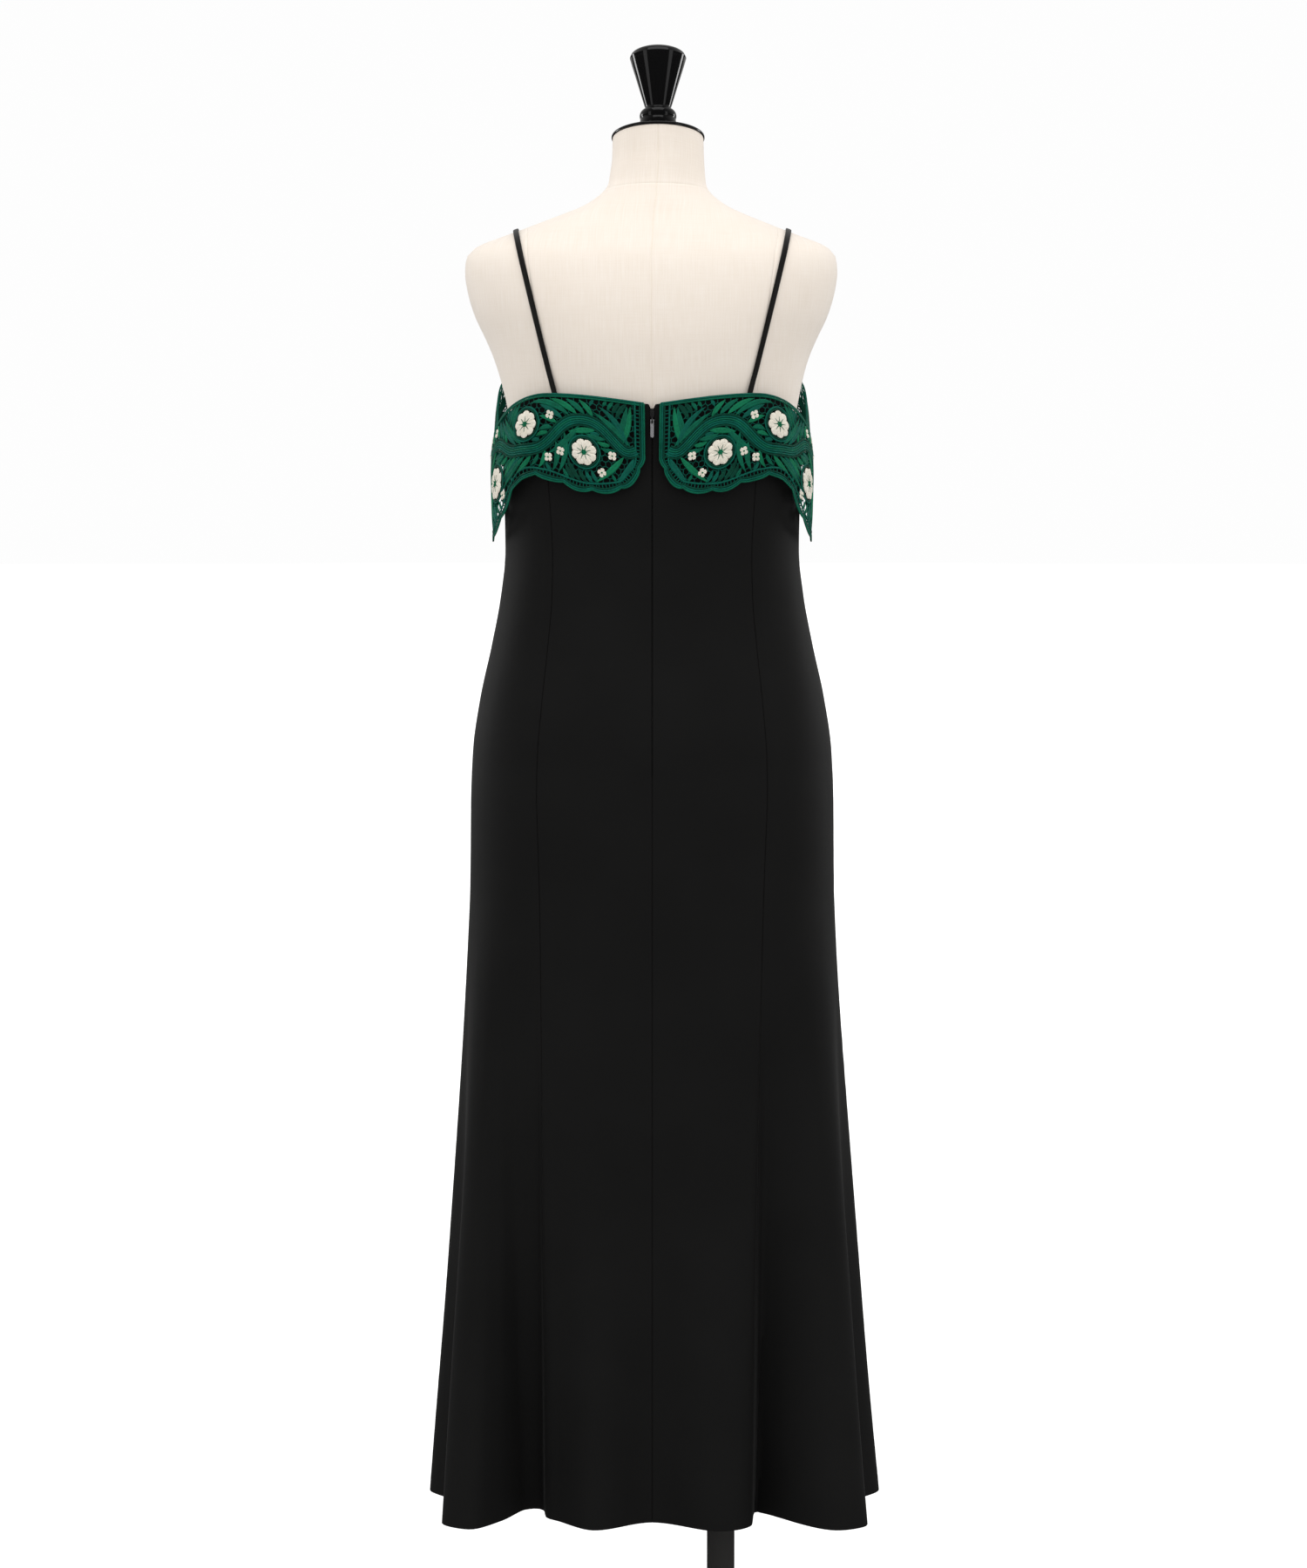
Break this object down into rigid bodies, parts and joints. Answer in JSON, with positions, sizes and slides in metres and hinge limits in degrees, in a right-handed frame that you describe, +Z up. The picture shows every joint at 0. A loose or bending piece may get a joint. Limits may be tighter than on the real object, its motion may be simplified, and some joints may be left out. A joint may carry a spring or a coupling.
{
  "type": "slip dress on a dress form",
  "caption": "Long black flared slip dress with a green lace flounce and a back zip, worn by a limbless dress form on a pole stand.",
  "frame": {"origin": "middle of the stand's underside, on the floor", "axes": "+Z up, the front of the dress faces -Y and its back +Y, the wearer's left is +X"},
  "size_m": [0.4693, 0.36, 1.6888],
  "materials": {
    "crepe": "matt black triacetate crepe with a soft satin back-light",
    "strap_satin": "black satin, turned into a narrow flat tube",
    "lace": "corded guipure lace in emerald, teal and leaf green with ivory blossoms",
    "zip_tape": "woven black tape",
    "zip_metal": "gunmetal plate",
    "form_linen": "natural cream linen, plain weave, stretched over the form",
    "gloss_black": "high-gloss black lacquer",
    "stand_metal": "satin black powder coat"
  },
  "bodies": {
    "dress_on_form": {"dress_centre_back_left": "crepe", "dress_side_back_left": "crepe", "dress_side_front_left": "crepe", "dress_centre_front": "crepe", "dress_side_front_right": "crepe", "dress_side_back_right": "crepe", "dress_centre_back_right": "crepe", "lace_back_left": "lace", "lace_front": "lace", "lace_back_right": "lace", "strap_left": "strap_satin", "strap_right": "strap_satin", "zip_tape_left": "zip_tape", "zip_tape_right": "zip_tape", "zip_slider": "zip_metal", "form_torso": "form_linen", "form_neck_cap": "gloss_black", "form_finial": "gloss_black", "stand_pole": "stand_metal", "stand_collar": "stand_metal", "stand_base": "stand_metal"},
    "pull_tab": {"zip_pull_tab": "zip_metal"}
  },
  "joints": [
    {"name": "pull_tab_swing", "type": "hinge", "parent": "dress_on_form", "child": "pull_tab", "pos_m": [0, 0.10683, 1.3045], "axis": [1, 0, 0], "range_deg": [0, 150]}
  ]
}
